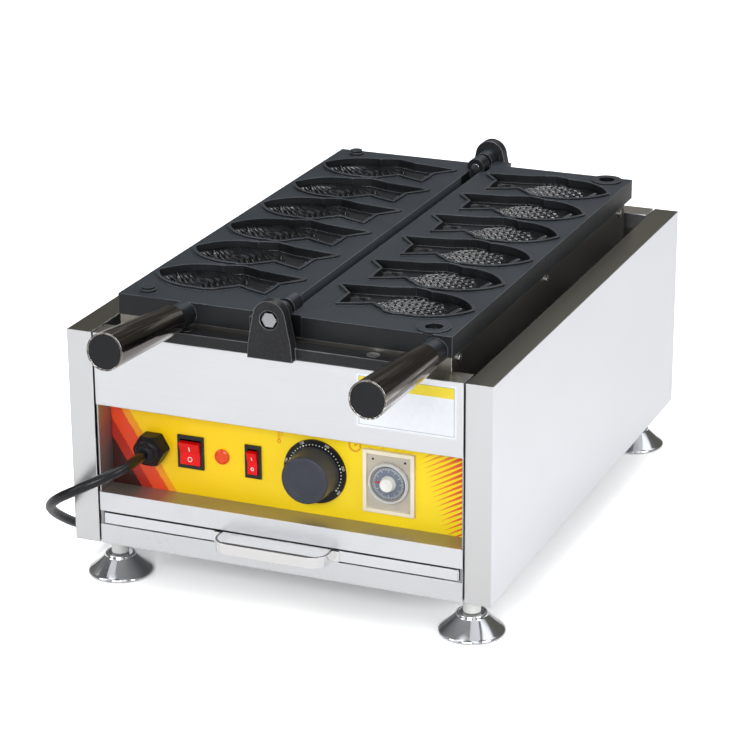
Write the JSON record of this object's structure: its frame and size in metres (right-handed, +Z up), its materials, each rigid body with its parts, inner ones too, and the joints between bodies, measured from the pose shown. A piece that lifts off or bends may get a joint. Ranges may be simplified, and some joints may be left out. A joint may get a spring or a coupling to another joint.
{
  "type": "fish-waffle maker",
  "caption": "Countertop fish-shaped waffle maker: hinged cast plates over heater trays in a steel casing with a control panel, crumb drawer and adjustable feet.",
  "frame": {"origin": "middle of the box round the object without its cord, on the surface that it stands on", "axes": "+Z up, front with its handles towards -Y, +X to the right seen from the front"},
  "size_m": [0.4217, 0.8396, 0.2996],
  "materials": {
    "polished_steel": "polished sheet",
    "plated_steel": "plain plated sheet",
    "light_panel": "smooth pale",
    "yellow_panel": "gloss printed sheet",
    "cast_coated": "satin non-stick coat",
    "cast_black": "matt black",
    "bolt_zinc": "zinc plated",
    "handle_steel": "polished dark",
    "black_plastic": "satin",
    "grey_knob": "satin",
    "red_rocker": "translucent red",
    "amber_lens": "clear orange red",
    "cream_plastic": "semi-gloss",
    "clear_plastic": "clear",
    "timer_hub": "white",
    "element": "heat-darkened",
    "tray_steel": "polished sheet",
    "copper": "bright",
    "cord_rubber": "satin",
    "chrome_foot": "turned and polished",
    "nylon": "white",
    "tan_plastic": "moulded"
  },
  "bodies": {
    "casing": {"chassis": "plated_steel", "left_side_cover": "polished_steel", "right_side_cover": "polished_steel", "front_cover": "light_panel", "control_panel": "yellow_panel", "ledge_rail": "polished_steel", "bottom_rail": "polished_steel", "rear_cover": "plated_steel", "rear_top_rail": "polished_steel", "cross_rails": "plated_steel", "heat_shield": "plated_steel", "drawer_runners": "plated_steel", "left_heater_tray": "tray_steel", "right_heater_tray": "tray_steel", "left_heating_element": "element", "right_heating_element": "element", "front_hinge_bar": "cast_black", "rear_hinge_bar": "cast_black", "front_hinge_bolt": "bolt_zinc", "rear_hinge_bolt": "bolt_zinc", "power_switch_case": "black_plastic", "alarm_switch_case": "black_plastic", "pilot_lamp": "amber_lens", "temperature_dial": "black_plastic", "thermostat": "tan_plastic", "thermostat_probe": "copper", "timer_case": "cream_plastic", "timer_window": "clear_plastic", "terminal_block": "cream_plastic", "power_relay": "black_plastic", "alarm_buzzer": "black_plastic", "cable_gland": "black_plastic", "power_cord": "cord_rubber", "cord_coil": "cord_rubber", "power_plug": "black_plastic", "foot_sleeves": "nylon", "hinge_bar_screws": "bolt_zinc", "tray_screws": "plated_steel", "rear_cover_screws": "plated_steel"},
    "left_plate_assembly": {"left_plate": "cast_coated", "left_handle_tube": "handle_steel", "left_handle_cap": "black_plastic", "left_handle_stud": "bolt_zinc"},
    "right_plate_assembly": {"right_plate": "cast_coated", "right_handle_tube": "handle_steel", "right_handle_cap": "black_plastic", "right_handle_stud": "bolt_zinc"},
    "drawer": {"crumb_drawer": "polished_steel", "drawer_pull": "polished_steel"},
    "power_rocker": {"power_rocker": "red_rocker"},
    "alarm_rocker": {"alarm_rocker": "red_rocker"},
    "temperature_knob": {"temperature_knob": "grey_knob"},
    "timer_knob": {"timer_knob": "timer_hub"},
    "front_left_foot": {"front_left_foot": "chrome_foot"},
    "front_right_foot": {"front_right_foot": "chrome_foot"},
    "rear_left_foot": {"rear_left_foot": "chrome_foot"},
    "rear_right_foot": {"rear_right_foot": "chrome_foot"}
  },
  "joints": [
    {"name": "left_plate_hinge", "type": "hinge", "parent": "casing", "child": "left_plate_assembly", "pos_m": [0, 0.06245, 0.282], "axis": [0, 1, 0], "range_deg": [0, 180]},
    {"name": "right_plate_hinge", "type": "hinge", "parent": "casing", "child": "right_plate_assembly", "pos_m": [0, 0.06245, 0.282], "axis": [0, -1, 0], "range_deg": [0, 180]},
    {"name": "drawer_slide", "type": "slide", "parent": "casing", "child": "drawer", "axis": [0, -1, 0], "range_m": [0, 0.34]},
    {"name": "power_rocker_pivot", "type": "hinge", "parent": "casing", "child": "power_rocker", "pos_m": [-0.0935, -0.17996, 0.1355], "axis": [-1, 0, 0], "range_deg": [0, 16]},
    {"name": "alarm_rocker_pivot", "type": "hinge", "parent": "casing", "child": "alarm_rocker", "pos_m": [-0.0325, -0.17996, 0.1355], "axis": [-1, 0, 0], "range_deg": [0, 16]},
    {"name": "temperature_knob_turn", "type": "hinge", "parent": "casing", "child": "temperature_knob", "pos_m": [0.027, -0.19356, 0.1355], "axis": [0, 1, 0], "range_deg": [0, 290]},
    {"name": "timer_knob_turn", "type": "hinge", "parent": "casing", "child": "timer_knob", "pos_m": [0.097, -0.18555, 0.1355], "axis": [0, 1, 0], "range_deg": [0, 300]},
    {"name": "front_left_foot_screw", "type": "hinge", "parent": "casing", "child": "front_left_foot", "pos_m": [-0.1765, -0.16756, 0.012], "axis": [0, 0, 1], "range_deg": [0, 360]},
    {"name": "front_right_foot_screw", "type": "hinge", "parent": "casing", "child": "front_right_foot", "pos_m": [0.1685, -0.16756, 0.012], "axis": [0, 0, 1], "range_deg": [0, 360]},
    {"name": "rear_left_foot_screw", "type": "hinge", "parent": "casing", "child": "rear_left_foot", "pos_m": [-0.1765, 0.30745, 0.012], "axis": [0, 0, 1], "range_deg": [0, 360]},
    {"name": "rear_right_foot_screw", "type": "hinge", "parent": "casing", "child": "rear_right_foot", "pos_m": [0.1685, 0.30745, 0.012], "axis": [0, 0, 1], "range_deg": [0, 360]}
  ]
}
